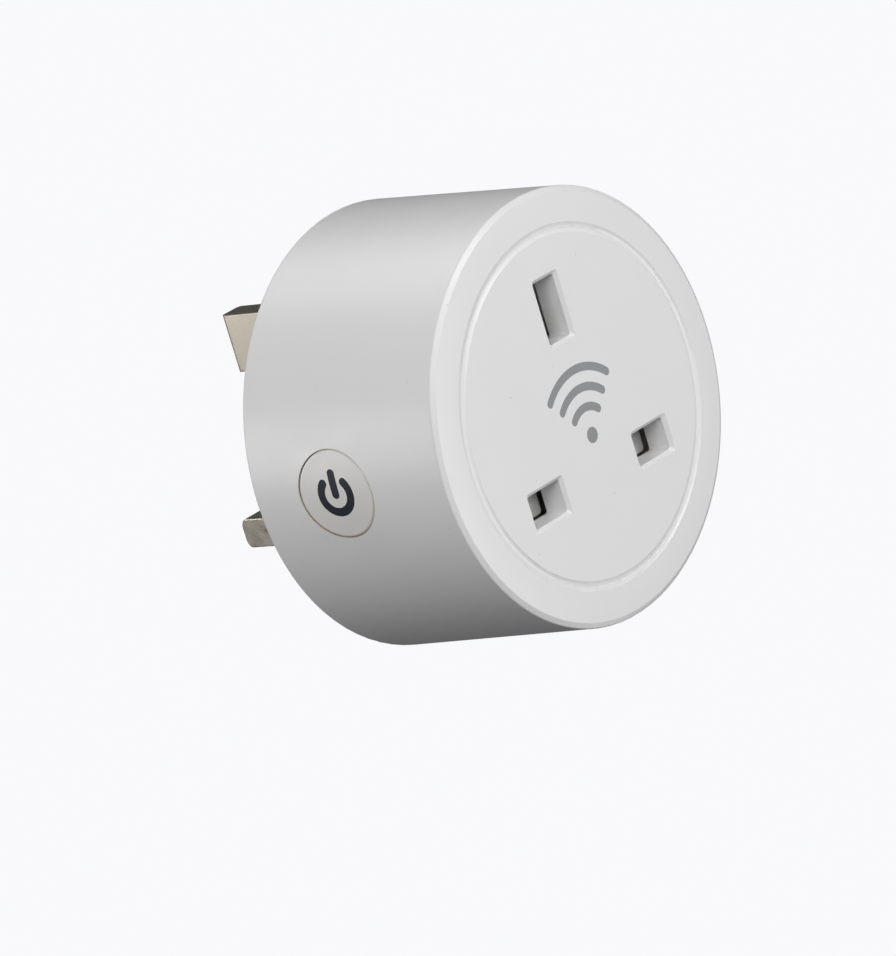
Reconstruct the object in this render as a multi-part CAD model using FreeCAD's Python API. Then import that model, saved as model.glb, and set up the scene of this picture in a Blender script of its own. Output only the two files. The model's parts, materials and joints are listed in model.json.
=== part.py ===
import FreeCAD, Part
import math
import os

from FreeCAD import Vector

# Round plug-in adaptor with a three-pin outlet on its front and a three-pin plug on its back.
# Millimetres. +Y points to the wall, the rear face is at y = 0, and +Z is up, on the earth side.

# Casing
DEPTH = 32.0
BEYOND = 31.0  # a radius outside the casing
TAPER = 1.45
CROWN_INNER = 23.6
CROWN_OUTER = 27.5
CROWN_SLOPE = 5.0
CHAMFER_SLOPE = 30.0
CHAMFER_LONG = 0.6
INNER_EDGE_ROUND = 0.3
OUTER_EDGE_ROUND = 0.3
REAR_ROUND = 0.4
CAVITY_RADIUS = 26.6
FRONT_PLATE = 2.0
PLATE_RADIUS = 22.9
PLATE_GAP = 0.02
PLATE_LEDGE_RADIUS = 21.5
PLATE_LEDGE = 1.0
GROOVE_INNER = 22.25
GROOVE_OUTER = 23.6
GROOVE_DEEP = 0.25

# Three-pin pattern, the same for the outlet and the plug
PIN_X = 11.11
PIN_Z = -9.04
EARTH_Z = 13.18

# Outlet apertures
POLE_SLOT = (6.6, 4.4)
EARTH_SLOT = (4.3, 8.3)
SLOT_CORNER = 0.4
SLOT_CHAMFER = 0.45
TUNNEL_DEEP = 3.85
TUNNEL_WALL = 1.0
TUNNEL_CORNER = 1.0

# Plug pins
POLE_PIN = (6.35, 3.97)
EARTH_PIN = (3.97, 7.92)
POLE_PIN_LONG = 18.6
EARTH_PIN_LONG = 23.4
PIN_EDGE = 0.12
PIN_END_EDGE = 0.6
PIN_END_TURN = 50.0
PIN_END_CORNER = 0.45
SLEEVE_LONG = 9.5
SLEEVE_WALL = 0.6
SLEEVE_BORE_EDGE = 0.1
PIN_ROOT = -5.0
PIN_HEAD = 1.2

PIN_HEAD_MARGIN = 1.0
PIN_HEAD_CORNER = 0.5
TAIL = (3.0, 1.0)
TAIL_PAST = 0.8
COLLAR_CORNER = 1.0
COLLAR_MARGIN = 1.6

# Rear cover and its screws
COVER_THICK = 2.6
COVER_RADIUS = 27.15
COVER_SEAT_RADIUS = 27.3
SCREW_CIRCLE = 23.6
SCREW_ANGLES = (30, 150, 270)
BOSS_RADIUS = 3.1
BOSS_ROOT = 0.3
SCREW_CORE = 1.1
SCREW_HEAD = 2.3
SCREW_GAP = 0.2
SCREW_RECESS = 1.4
SCREW_LONG = 8.0
SCREW_BORE_END = -14.0
LABEL_FIELD = (20.0, 6.4)
LABEL_CORNER = 1.0
LABEL_Z = -16.4
LABEL_DEEP = 0.25

# Screws in general
HEAD_TALL = 1.2
HEAD_ROUND = 0.5
CROSS_DEEP = 0.8
CROSS_REACH = 0.62
CROSS_THIN = 0.16
SMALL_HEAD = 1.9
SMALL_CORE = 0.9
SMALL_GRIP = 2.6

# Power button
BUTTON_Y = -13.6
BUTTON_Z = 0.17
BUTTON_HOLE = 5.98
BUTTON_HOLE_SHIFT = 0.025
BUTTON_RADIUS = 5.91
BUTTON_EDGE = 0.35
BUTTON_BACK_X = -24.9
FLANGE_RADIUS = 6.9
FLANGE_SURFACE = 26.3
SYMBOL_RING = 2.32
SYMBOL_STROKE = 1.18
SYMBOL_GAP_ANGLE = 46
SYMBOL_STEM = (-0.5, 3.44)
SYMBOL_DEEP_X = -28.0

# Wireless sign on the front face
SIGN_X = 0.3
SIGN_Z = -4.0
SIGN_ARCS = (3.7, 6.25, 8.8)
SIGN_STROKE = 1.1
SIGN_HALF_ANGLE = 43
SIGN_DOT = 1.05
SIGN_DEEP = 0.3

# Button switch
BOARD_X = -20.6
BOARD_THICK = 1.0
BOARD_HALF = 7.5
SWITCH_BOARD_FRONT = -21.0
TACT_FRONT_X = -24.1
TACT_HALF = 3.0
TACT_FLOOR = 1.0
PLUNGER_RADIUS = 1.7
PLUNGER_FRONT_X = -24.85
PLUNGER_GAP = 0.15
PLUNGER_END = 1.6
LED_Z = 5.44
LED_BASE = (1.6, 2.0)
LED_LENS = (1.3, 1.4)
LED_STEP = 0.4
LED_TALL = 0.9

# Shutter, moved up by the earth pin
SHUTTER_FRONT = -27.0
SHUTTER_THICK = 1.2
SHUTTER_TRAVEL = 5.2
LEG_HALF = 3.55
LEG_BELOW = 2.2
BAR_TOP = -2.5
BAR_BOTTOM = -6.4
BAR_HALF = 15.0
ARM_INNER = 2.7
ARM_OUTER = 4.6
WEDGE_TOP = 19.0
WEDGE_TIP = 17.4
WEDGE_HEEL = 12.0
WEDGE_BACK = -22.4
WEDGE_GAP = 0.4
SPRING_Y = -26.4
SPRING_RADIUS = 1.5
SPRING_WIRE = 0.2
SPRING_TURNS = 6
SPRING_TOP = 7.0
SPRING_PLAY = 0.01
SPRING_SEAT_HALF = 2.0
SPRING_GAP = 0.3
SPRING_SEAT_THICK = 0.8
SPRING_PEG = (0.9, 1.2)
GUIDE_RIB_HALF = 0.5
GUIDE_RIB_TALL = 5.0
RIB_GAP = 0.2

# Contact carrier
CARRIER_FRONT = -25.5
CARRIER_BACK = -23.5
CARRIER_RADIUS = 24.5
CELL_BACK = -15.0
CELL_WALL = 1.0
POLE_CELL = (7.6, 7.4)
EARTH_CELL = (7.4, 11.0)
POLE_MOUTH = (7.6, 5.2)
CELL_CORNER = 0.4
SPRING_STOP = (2.5, 1.4)
RAIL_GAP = 0.3
RAIL_THICK = 0.9
RAIL_Z = (-12.0, 2.0)
WEDGE_SLOT_HALF = 2.9
WEDGE_SLOT_TOP = 26.0
SPRING_SLOT_FOOT = -4.0
CARRIER_POST = (19.0, -2.0)
POST_RADIUS = 2.5
POST_BORE_END = -29.5

# Spring contacts
STRIP = 0.5
POLE_CONTACT_WIDE = 6.6
POLE_CONTACT_PATH = ((-22.8, 2.9), (-19.8, 1.75), (-15.5, 2.4), (-13.3, 2.4))
CONTACT_LEG_DROP = 4.4
CONTACT_LEG_WIDE = 3.0
EARTH_CONTACT_TALL = 7.2
EARTH_CONTACT_PATH = ((3.0, -21.8), (1.75, -18.5), (2.7, -14.0), (2.7, -8.7))
EARTH_TAIL_HALF = 0.3

# Main circuit board
BOARD_FRONT = -8.0
BOARD_BACK = -6.4
BOARD_RADIUS = 25.6
STANDOFFS = ((16.5, -15.0), (-16.5, -15.0), (7.5, 20.2))
STANDOFF_RADIUS = 2.2
STANDOFF_BORE_END = -3.6
BOARD_HOLE_GAP = 0.1
BOARD_CLEARANCE = 0.4
FLANGE_ROOM = 0.6
TAIL_GAP = 0.15
PART_SEAT = -8.2
LEAD_END = -5.8
LEAD = 0.3

# Relay
RELAY_X = (5.8, 16.0)
RELAY_Z = (-2.0, 16.4)
RELAY_FRONT = -23.3
RELAY_WALL = 0.8
RELAY_FLOOR = -9.4
COIL_X = 10.9
COIL_Z = 10.2
POLE_Y = -19.8
ARMATURE_PIVOT_Z = 15.0
ARMATURE_ANGLE = 4.0
ARMATURE_AIR = 0.05
ARMATURE = (6.4, 1.0)
ARMATURE_FOOT = 5.0
CONTACT_Z = 2.2
CONTACT_FOOT = 0.9
RIVET_RADIUS = 1.2
MOVING_RIVET = 0.6
FIXED_RIVET = 0.5
LEAF = (3.2, 0.3)
LEAF_TOP = 11.0
TERMINAL_WIDE = 3.0
TERMINAL_SHELF = 0.5
TERMINAL_Z = (3.4, 4.0)
SPOOL_Y = (-18.9, -10.6)
SPOOL_RADIUS = 2.2
SPOOL_BORE = 1.65
SPOOL_FLANGE = 7.8
SPOOL_FLANGE_THICK = 0.8
COIL_RADIUS = 3.6
CORE_RADIUS = 1.6
POLE_FACE_RADIUS = 2.8
POLE_FACE_BACK = -19.0
YOKE_WIDE = 6.8
YOKE_THICK = 1.0
YOKE_FOOT_DROP = 2.6
RELAY_LEADS_X = 3.7
RELAY_LEADS_Z = (15.2, 4.6)

# Supply parts on the main board: places are (x, z), sizes follow x, y, z
CAPACITOR_RADIUS = 4.0
CAPACITOR_FRONT = -20.2
CAPACITOR_Z = (2.2, -6.8)
CAPACITOR_EDGE = 0.5
CAPACITOR_LEAD_X = 1.75
CAPACITOR_NECK = (4.25, 0.5, -10.2)
SCORE = (5.2, 0.2, 0.3)
TRANSFORMER = (-11.0, 7.0)
CORE_BLOCK = (9.6, 8.8, 4.8)
CORE_LIMB = 1.6
CORE_POST = 2.8
CORE_BACK = -9.4
WINDING_BLOCK = (6.0, 5.2, 9.6)
WINDING_FRONT = -16.4
WINDING_ROUND = 1.0
TRANSFORMER_BASE = (9.2, 9.6)
TRANSFORMER_LEADS = (3.2, 3.8)
CHOKE = (0, -15.2)
CHOKE_FRONT = -17.0
CHOKE_FLANGE = (3.5, 1.2)
CHOKE_POST = 1.6
CHOKE_COIL = 3.0
CHOKE_LEAD_X = 2.5
FILM_BOX = (9.0, 5.0)
FILM_PLACE = (-9.0, -19.0)
FILM_FRONT = -17.0
FILM_EDGE = 0.4
FILM_LEAD_X = 3.0
VARISTOR = (8.6, -19.0)
VARISTOR_RADIUS = 4.2
VARISTOR_Y = -13.2
VARISTOR_THICK = 3.4
VARISTOR_EDGE = 1.2
VARISTOR_FOOT = (6.8, 2.0)
VARISTOR_FOOT_RISE = 1.7
VARISTOR_LEAD_X = 3.0
RESISTOR = (18.5, -7.5)
RESISTOR_RADIUS = 1.9
RESISTOR_FRONT = -17.5
RESISTOR_EDGE = 0.6
RECTIFIER = (6.0, 2.4, 4.0)
RECTIFIER_PLACE = (-12.0, -1.2)
SUPPLY_CHIP = (4.8, 1.6, 5.0)
SUPPLY_CHIP_PLACE = (20.0, 3.5)
CHIP_EDGE = 0.2

# Radio board
RADIO_X = (-17.5, -5.5)
RADIO_FRONT = -22.0
RADIO_Z = (15.6, 16.4)
SHIELD = (9.2, 8.0, 2.2)
SHIELD_X = -12.0
SHIELD_FRONT = -17.4
SHIELD_EDGE = 0.4
ANTENNA_START = -16.6
ANTENNA_STEP = 1.6
ANTENNA_RUNS = 6
ANTENNA_TRACK = 0.6
ANTENNA_THICK = 0.1
ANTENNA_Y = (-21.6, -18.4)


def box(x0, x1, y0, y1, z0, z1):
    """Box between two corners."""
    return Part.makeBox(x1 - x0, y1 - y0, z1 - z0, Vector(x0, y0, z0))


def rod(radius, x, z, y0, y1):
    """Round bar along Y."""
    return Part.makeCylinder(radius, y1 - y0, Vector(x, y0, z), Vector(0, 1, 0))


def rod_x(radius, y, z, x0, x1):
    """Round bar along X."""
    return Part.makeCylinder(radius, x1 - x0, Vector(x0, y, z), Vector(1, 0, 0))


def joined(solids):
    """One solid from several that touch or overlap."""
    return solids[0].multiFuse(solids[1:]).removeSplitter()


def edges_along(shape, axis):
    """Straight edges of a shape that run along one axis, given as 'x', 'y' or 'z'."""
    found = []
    for edge in shape.Edges:
        ends = edge.Vertexes
        if len(ends) < 2:
            continue
        way = ends[1].Point - ends[0].Point
        if abs(getattr(way, axis)) > 0.99 * edge.Length:
            found.append(edge)
    return found


def block(size, x, z, y0, y1):
    """Square-edged block along Y, centred at (x, z)."""
    wide, tall = size
    return box(x - wide / 2, x + wide / 2, y0, y1, z - tall / 2, z + tall / 2)


def bar(size, corner, x, z, y0, y1):
    """Bar along Y with a rounded rectangular section."""
    square = block(size, x, z, y0, y1)
    return square.makeFillet(corner, edges_along(square, "y"))


def grown(size, margin):
    """Section size with a margin added on every side."""
    return (size[0] + 2 * margin, size[1] + 2 * margin)


def prism(points, way):
    """Closed outline pushed along a vector."""
    outline = Part.makePolygon(list(points) + [points[0]])
    return Part.Face(outline).extrude(way)


def strip_outline(path, thick):
    """Outline of a strip of even thickness that follows a bent path in a plane, as (u, v) pairs."""
    left = []
    right = []
    for i, (u, v) in enumerate(path):
        before = path[max(i - 1, 0)]
        after = path[min(i + 1, len(path) - 1)]
        first = (u - before[0], v - before[1]) if i else (after[0] - u, after[1] - v)
        second = (after[0] - u, after[1] - v) if i < len(path) - 1 else first
        a = math.atan2(first[1], first[0])
        b = math.atan2(second[1], second[0])
        turn = math.atan2(math.sin(b - a), math.cos(b - a))
        middle = a + turn / 2 + math.pi / 2
        reach = thick / 2 / math.cos(turn / 2)
        left.append((u + reach * math.cos(middle), v + reach * math.sin(middle)))
        right.append((u - reach * math.cos(middle), v - reach * math.sin(middle)))
    return left + right[::-1]


def screw_places():
    """Centres of the rear cover's screws, as (x, z) pairs."""
    turns = [math.radians(angle) for angle in SCREW_ANGLES]
    return [(SCREW_CIRCLE * math.cos(t), SCREW_CIRCLE * math.sin(t)) for t in turns]


def apertures():
    """The outlet's openings as (x, z, section size)."""
    return [(PIN_X, PIN_Z, POLE_SLOT), (-PIN_X, PIN_Z, POLE_SLOT), (0, EARTH_Z, EARTH_SLOT)]


def rims_at(shape, y):
    """Closed circular edges of a shape that lie in one plane across Y."""
    return [e for e in shape.Edges if len(e.Vertexes) == 1 and abs(e.Vertexes[0].Y - y) < 0.01]


def heading_way(heading):
    """Unit vector in the XY plane at an angle in degrees, from the outward radius towards the rear."""
    turned = math.radians(heading)
    return Vector(math.cos(turned), math.sin(turned), 0)


def bend(start, radius, heading, new_heading):
    """Arc in the XY plane that turns from one heading to another, as an edge and its end."""
    centre = start + heading_way(heading + 90) * radius

    def at(angle):
        return centre - heading_way(angle + 90) * radius

    end = at(new_heading)
    return Part.Arc(start, at((heading + new_heading) / 2), end).toShape(), end


def straight(start, end):
    """Straight edge."""
    return Part.LineSegment(start, end).toShape()


def envelope():
    """Outside of the casing: a tapered drum whose front falls away slightly to a chamfered rim."""
    wall = 90 - TAPER
    crown_radius = (CROWN_OUTER - CROWN_INNER) / math.sin(math.radians(CROWN_SLOPE))
    front_centre = Vector(0, -DEPTH, 0)
    rear_centre = Vector(0, 0, 0)
    crown_start = Vector(CROWN_INNER, -DEPTH, 0)
    crown, crown_end = bend(crown_start, crown_radius, 0, CROWN_SLOPE)
    inner_edge, chamfer_start = bend(crown_end, INNER_EDGE_ROUND, CROWN_SLOPE, CHAMFER_SLOPE)
    chamfer_end = chamfer_start + heading_way(CHAMFER_SLOPE) * CHAMFER_LONG
    outer_edge, wall_start = bend(chamfer_end, OUTER_EDGE_ROUND, CHAMFER_SLOPE, wall)
    rise = heading_way(wall)
    wall_top = -REAR_ROUND * (1 + rise.x)
    wall_end = wall_start + rise * ((wall_top - wall_start.y) / rise.y)
    rear_edge, rear_start = bend(wall_end, REAR_ROUND, wall, 180)
    outline = Part.Wire([
        straight(front_centre, crown_start),
        crown,
        inner_edge,
        straight(chamfer_start, chamfer_end),
        outer_edge,
        straight(wall_start, wall_end),
        rear_edge,
        straight(rear_start, rear_centre),
        straight(rear_centre, front_centre),
    ])
    return Part.Face(outline).revolve(rear_centre, Vector(0, 1, 0), 360)


def arc_stroke(centre, radius, width, start, end):
    """Flat outline of a round-ended stroke along an arc, in the XZ plane, as a face."""
    x, z = centre

    def at(r, angle):
        turn = math.radians(angle)
        return Vector(x + r * math.cos(turn), 0, z + r * math.sin(turn))

    middle = (start + end) / 2
    outer = radius + width / 2
    inner = radius - width / 2
    half = math.degrees(width / 2 / radius)
    edges = [
        Part.Arc(at(outer, start), at(outer, middle), at(outer, end)).toShape(),
        Part.Arc(at(outer, end), at(radius, end + half), at(inner, end)).toShape(),
        Part.Arc(at(inner, end), at(inner, middle), at(inner, start)).toShape(),
        Part.Arc(at(inner, start), at(radius, start - half), at(outer, start)).toShape(),
    ]
    return Part.Face(Part.Wire(edges))


def front_sign():
    """Dot and three arcs, the usual sign for a wireless device, let into the front face."""
    way = Vector(0, SIGN_DEEP, 0)
    back = Vector(0, -DEPTH, 0)
    pieces = [rod(SIGN_DOT, SIGN_X, SIGN_Z, -DEPTH, -DEPTH + SIGN_DEEP)]
    for radius in SIGN_ARCS:
        face = arc_stroke((SIGN_X, SIGN_Z), radius, SIGN_STROKE, 90 - SIGN_HALF_ANGLE, 90 + SIGN_HALF_ANGLE)
        face.translate(back)
        pieces.append(face.extrude(way))
    return Part.makeCompound(pieces)


def slot_mouth(x, z, size):
    """Chamfer around the mouth of one aperture, with a lip in front of the face to cut cleanly."""
    lip = 0.1
    sections = []
    for depth in (-lip, SLOT_CHAMFER):
        plug = bar(grown(size, SLOT_CHAMFER - depth), SLOT_CORNER, x, z, -DEPTH + depth, 0)
        front = min(plug.Faces, key=lambda face: face.CenterOfMass.y)
        sections.append(front.OuterWire)
    return Part.makeLoft(sections, True, True)


def groove():
    """Shallow round-bottomed ring groove in the front face."""
    half = (GROOVE_OUTER - GROOVE_INNER) / 2
    round_radius = (half ** 2 + GROOVE_DEEP ** 2) / (2 * GROOVE_DEEP)
    middle = (GROOVE_OUTER + GROOVE_INNER) / 2
    centre = Vector(0, -DEPTH - round_radius + GROOVE_DEEP, 0)
    return Part.makeTorus(middle, round_radius, centre, Vector(0, 1, 0))


def plate_blank(gap):
    """Stepped disc that drops into the front of the casing; the ring groove hides the joint."""
    step = -DEPTH + PLATE_LEDGE
    return joined([
        rod(PLATE_RADIUS - gap, 0, 0, -DEPTH, step),
        rod(PLATE_LEDGE_RADIUS - gap, 0, 0, step, -DEPTH + FRONT_PLATE),
    ])


def outer_shell():
    """Drum-shaped casing with a front rim, a hole for the button and three screw bosses."""
    inside_front = -DEPTH + FRONT_PLATE
    shell = envelope()
    shell = shell.cut(rod(CAVITY_RADIUS, 0, 0, inside_front, 1))
    shell = shell.cut(rod(COVER_SEAT_RADIUS, 0, 0, -COVER_THICK, 1))
    bosses = [rod(BOSS_RADIUS, x, z, inside_front, -COVER_THICK) for x, z in screw_places()]
    inside = rod(CAVITY_RADIUS + BOSS_ROOT, 0, 0, inside_front, -COVER_THICK)
    shell = joined([shell] + [boss.common(inside) for boss in bosses])
    cuts = [plate_blank(0), groove()]
    hole_y = BUTTON_Y + BUTTON_HOLE_SHIFT
    hole_z = BUTTON_Z + BUTTON_HOLE_SHIFT
    cuts.append(rod_x(BUTTON_HOLE, hole_y, hole_z, -BEYOND, -CAVITY_RADIUS + 3))
    cuts += [rod(SCREW_CORE, x, z, SCREW_BORE_END, -COVER_THICK) for x, z in screw_places()]
    for cutter in cuts:
        shell = shell.cut(cutter)
    return shell


def socket_plate(sign):
    """Front disc with the three aperture tunnels, the carrier's posts and the shutter's guide ribs."""
    inside_front = -DEPTH + FRONT_PLATE
    tunnel_end = -DEPTH + TUNNEL_DEEP
    added = []
    for x, z, size in apertures():
        added.append(bar(grown(size, TUNNEL_WALL), TUNNEL_CORNER, x, z, inside_front, tunnel_end))
    post_x, post_z = CARRIER_POST
    rib_x = (ARM_INNER + ARM_OUTER) / 2
    for side in (-1, 1):
        added.append(rod(POST_RADIUS, side * post_x, post_z, inside_front, CARRIER_FRONT))
        rib_size = (2 * GUIDE_RIB_HALF, 2 * GUIDE_RIB_TALL)
        added.append(block(rib_size, side * rib_x, 0, inside_front, SHUTTER_FRONT - RIB_GAP))
    plate = joined([plate_blank(PLATE_GAP)] + added)
    cuts = [groove(), sign]
    for x, z, size in apertures():
        cuts.append(bar(size, SLOT_CORNER, x, z, -DEPTH - 1, tunnel_end + 1))
        cuts.append(slot_mouth(x, z, size))
    cuts += [rod(SMALL_CORE, side * post_x, post_z, POST_BORE_END, CARRIER_FRONT) for side in (-1, 1)]
    for cutter in cuts:
        plate = plate.cut(cutter)
    return plate


def rear_cover():
    """Round back plate with screw recesses, pin collars, board standoffs and a blank label field."""
    cover = rod(COVER_RADIUS, 0, 0, -COVER_THICK, 0)
    added = [rod(STANDOFF_RADIUS, x, z, BOARD_BACK, -COVER_THICK) for x, z in STANDOFFS]
    for side in (-1, 1):
        collar = grown(POLE_PIN, COLLAR_MARGIN)
        added.append(bar(collar, COLLAR_CORNER, side * PIN_X, PIN_Z, PIN_ROOT, -COVER_THICK))
    collar = grown(EARTH_PIN, COLLAR_MARGIN)
    added.append(bar(collar, COLLAR_CORNER, 0, EARTH_Z, PIN_ROOT, -COVER_THICK))
    cover = joined([cover] + added)
    for side in (-1, 1):
        cover = cover.cut(bar(POLE_PIN, PIN_EDGE, side * PIN_X, PIN_Z, PIN_ROOT - 1, 1))
    cover = cover.cut(bar(EARTH_PIN, PIN_EDGE, 0, EARTH_Z, PIN_ROOT - 1, 1))
    for x, z in screw_places():
        cover = cover.cut(rod(SCREW_CORE + SCREW_GAP, x, z, -COVER_THICK - 1, 0))
        cover = cover.cut(rod(SCREW_HEAD + SCREW_GAP, x, z, -SCREW_RECESS, 0.5))
    for x, z in STANDOFFS:
        cover = cover.cut(rod(SMALL_CORE, x, z, BOARD_BACK - 1, STANDOFF_BORE_END))
    label = bar(LABEL_FIELD, LABEL_CORNER, 0, LABEL_Z, -LABEL_DEEP, 1)
    return cover.cut(label)


def cross_screw(x, z, head_y, way, head, core, length):
    """Pan-head screw along Y with a cross recess. way is +1 when the point is towards +Y."""
    axis = Vector(0, way, 0)
    top = Vector(x, head_y, z)
    cap = Part.makeCylinder(head, HEAD_TALL, top, axis)
    cap = cap.makeFillet(HEAD_ROUND, rims_at(cap, head_y))
    shank = Part.makeCylinder(core, length, top + axis * HEAD_TALL, axis)
    screw = joined([cap, shank])
    long = 2 * CROSS_REACH * head
    thin = 2 * CROSS_THIN * head
    low = min(head_y, head_y + way * CROSS_DEEP)
    screw = screw.cut(block((long, thin), x, z, low, low + CROSS_DEEP))
    return screw.cut(block((thin, long), x, z, low, low + CROSS_DEEP))


def cover_screws():
    """Three screws that hold the rear cover on."""
    head_y = -SCREW_RECESS + HEAD_TALL
    return Part.makeCompound(
        [cross_screw(x, z, head_y, -1, SCREW_HEAD, SCREW_CORE, SCREW_LONG) for x, z in screw_places()]
    )


def board_screws():
    """Screws that hold the main board on its standoffs."""
    head_y = BOARD_FRONT - HEAD_TALL
    length = BOARD_BACK - BOARD_FRONT + SMALL_GRIP
    return Part.makeCompound(
        [cross_screw(x, z, head_y, 1, SMALL_HEAD, SMALL_CORE, length) for x, z in STANDOFFS[:2]]
    )


def carrier_screws():
    """Screws that hold the contact carrier on its posts."""
    x, z = CARRIER_POST
    head_y = CARRIER_BACK + HEAD_TALL
    length = CARRIER_BACK - CARRIER_FRONT + SMALL_GRIP
    return Part.makeCompound(
        [cross_screw(side * x, z, head_y, -1, SMALL_HEAD, SMALL_CORE, length) for side in (-1, 1)]
    )


def crowned_end(half, y0, y1):
    """Outline in the XY plane of a bar whose free end is crowned, with rounded edges."""
    turned = math.radians(PIN_END_TURN)
    crown_radius = (half - PIN_END_EDGE * (1 - math.cos(turned))) / math.cos(turned)
    shoulder = y1 - PIN_END_EDGE * math.sin(turned) - crown_radius * (1 - math.sin(turned))
    near_foot = Vector(half, y0, 0)
    near_side = Vector(half, shoulder, 0)
    near_edge, crown_start = bend(near_side, PIN_END_EDGE, 90, 90 + PIN_END_TURN)
    crown, crown_end = bend(crown_start, crown_radius, 90 + PIN_END_TURN, 270 - PIN_END_TURN)
    far_edge, far_side = bend(crown_end, PIN_END_EDGE, 270 - PIN_END_TURN, 270)
    far_foot = Vector(far_side.x, y0, 0)
    return Part.Face(Part.Wire([
        straight(near_foot, near_side),
        near_edge,
        crown,
        far_edge,
        straight(far_side, far_foot),
        straight(far_foot, near_foot),
    ]))


def cornered_end(half, y0, y1):
    """Outline in the XY plane of a bar whose free end is flat, with rounded corners."""
    near_foot = Vector(half, y0, 0)
    near_side = Vector(half, y1 - PIN_END_CORNER, 0)
    near_corner, flat_start = bend(near_side, PIN_END_CORNER, 90, 180)
    flat_end = Vector(-flat_start.x, y1, 0)
    far_corner, far_side = bend(flat_end, PIN_END_CORNER, 180, 270)
    far_foot = Vector(far_side.x, y0, 0)
    return Part.Face(Part.Wire([
        straight(near_foot, near_side),
        near_corner,
        straight(flat_start, flat_end),
        far_corner,
        straight(far_side, far_foot),
        straight(far_foot, near_foot),
    ]))


def upright_profile(face, wide):
    """Prism of an XY outline turned to stand in the YZ plane, centred on X."""
    face.rotate(Vector(0, 0, 0), Vector(0, 1, 0), 90)
    face.translate(Vector(-wide / 2, 0, 0))
    return face.extrude(Vector(wide, 0, 0))


def flat_profile(face, tall):
    """Prism of an XY outline, centred on Z."""
    face.translate(Vector(0, 0, -tall / 2))
    return face.extrude(Vector(0, 0, tall))


def round_ended_pin(size, x, z, y0, y1):
    """Flat pin along Y whose free end is crowned across its thickness and rounded across its width."""
    wide, tall = size
    if wide < tall:
        thin_way = flat_profile(crowned_end(wide / 2, y0, y1), tall)
        wide_way = upright_profile(cornered_end(tall / 2, y0, y1), wide)
    else:
        thin_way = upright_profile(crowned_end(tall / 2, y0, y1), wide)
        wide_way = flat_profile(cornered_end(wide / 2, y0, y1), tall)
    pin = bar(size, PIN_EDGE, 0, 0, y0, y1).common(thin_way).common(wide_way)
    pin.translate(Vector(x, 0, z))
    return pin


def pin_head(size, x, z):
    """Wider head that holds a pin in its collar inside the casing."""
    wider = grown(size, PIN_HEAD_MARGIN)
    return bar(wider, PIN_HEAD_CORNER, x, z, PIN_ROOT - PIN_HEAD, PIN_ROOT)


def earth_pin():
    """Solid earth pin with a retaining head inside the casing."""
    pin = round_ended_pin(EARTH_PIN, 0, EARTH_Z, PIN_ROOT, EARTH_PIN_LONG)
    head = pin_head(EARTH_PIN, 0, EARTH_Z)
    return joined([pin, head])


def pole_pin(side):
    """Live or neutral pin: full section at the tip, reduced under its sleeve, with head and tail."""
    x = side * PIN_X
    tip = round_ended_pin(POLE_PIN, x, PIN_Z, SLEEVE_LONG, POLE_PIN_LONG)
    neck = bar(grown(POLE_PIN, -SLEEVE_WALL), SLEEVE_BORE_EDGE, x, PIN_Z, PIN_ROOT, SLEEVE_LONG)
    tail = block(TAIL, x, PIN_Z, BOARD_FRONT - TAIL_PAST, PIN_ROOT - PIN_HEAD)
    return joined([tip, neck, pin_head(POLE_PIN, x, PIN_Z), tail])


def pole_sleeve(side):
    """Insulating sleeve round the root of a live or neutral pin."""
    x = side * PIN_X
    sleeve = bar(POLE_PIN, PIN_EDGE, x, PIN_Z, PIN_ROOT, SLEEVE_LONG)
    return sleeve.cut(bar(grown(POLE_PIN, -SLEEVE_WALL), SLEEVE_BORE_EDGE, x, PIN_Z, PIN_ROOT, SLEEVE_LONG))


def symbol_prism():
    """Standby symbol, a broken ring and a bar, as a prism along X through the button's cap."""
    gap = SYMBOL_GAP_ANGLE
    ring = arc_stroke((0, 0), SYMBOL_RING, SYMBOL_STROKE, 90 + gap, 450 - gap)
    ring = ring.extrude(Vector(0, 6, 0))
    low, high = SYMBOL_STEM
    half = SYMBOL_STROKE / 2
    stem = box(-half, half, 0, 6, low + half, high - half)
    ends = [rod(half, 0, level, 0, 6) for level in (low + half, high - half)]
    symbol = Part.makeCompound([ring, joined([stem] + ends)])
    symbol.rotate(Vector(0, 0, 0), Vector(0, 0, 1), -90)
    symbol.translate(Vector(SYMBOL_DEEP_X - 6, BUTTON_Y, BUTTON_Z))
    return symbol


def button_body():
    """Round button that follows the curve of the casing, with a wider flange behind the hole."""
    cap = rod_x(BUTTON_RADIUS, BUTTON_Y, BUTTON_Z, -BEYOND, BUTTON_BACK_X).common(envelope())
    rim = [e for e in cap.Edges if e.BoundBox.XMax < -26.5 and e.BoundBox.ZLength > BUTTON_RADIUS]
    cap = cap.makeFillet(BUTTON_EDGE, rim)
    flange = rod_x(FLANGE_RADIUS, BUTTON_Y, BUTTON_Z, -BEYOND, BUTTON_BACK_X)
    flange = flange.common(rod(FLANGE_SURFACE, 0, 0, -DEPTH, 0))
    return joined([cap, flange])


def power_symbol(button, prism_shape):
    """Symbol inlay, flush with the button's curved face."""
    return Part.makeCompound([prism_piece.common(button) for prism_piece in prism_shape.Solids])


def plate_x(size, y, z, x0, x1):
    """Square-edged block along X, centred at (y, z)."""
    deep, tall = size
    return box(x0, x1, y - deep / 2, y + deep / 2, z - tall / 2, z + tall / 2)


def switch_board():
    """Small upright board behind the button."""
    low = BUTTON_Z - BOARD_HALF
    return box(BOARD_X, BOARD_X + BOARD_THICK, SWITCH_BOARD_FRONT, PART_SEAT, low, low + 2 * BOARD_HALF)


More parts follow.
